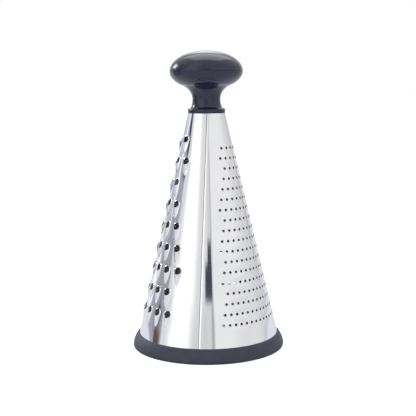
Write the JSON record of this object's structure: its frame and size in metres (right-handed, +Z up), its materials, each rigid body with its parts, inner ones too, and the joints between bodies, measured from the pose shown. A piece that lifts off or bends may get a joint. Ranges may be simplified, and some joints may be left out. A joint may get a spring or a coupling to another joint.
{
  "type": "conical hand grater",
  "caption": "Conical steel hand grater with coarse, fine and slicing zones, a round knob clamped on top and a moulded base ring to stand on.",
  "frame": {"origin": "centre of the flat rest face under the base ring", "axes": "+Z up the cone's axis to the knob, -Y to the front between the coarse and the fine zone, where the seam is, and +X to the fine side"},
  "size_m": [0.1114, 0.1114, 0.2155],
  "materials": {
    "grating_cone": "mirror-polished stainless sheet",
    "base_ring": "soft matte dark slate moulding",
    "knob_shell": "glossy dark slate moulding",
    "insert_brass": "turned brass",
    "plug_plastic": "plain black moulding",
    "screw_steel": "turned stainless steel"
  },
  "bodies": {
    "root": {"grating_cone": "grating_cone", "base_ring": "base_ring", "knob_crown": "knob_shell", "knob_body": "knob_shell", "threaded_insert": "insert_brass", "clamp_plug": "plug_plastic", "clamp_washer": "screw_steel", "clamp_screw": "screw_steel"}
  },
  "joints": []
}
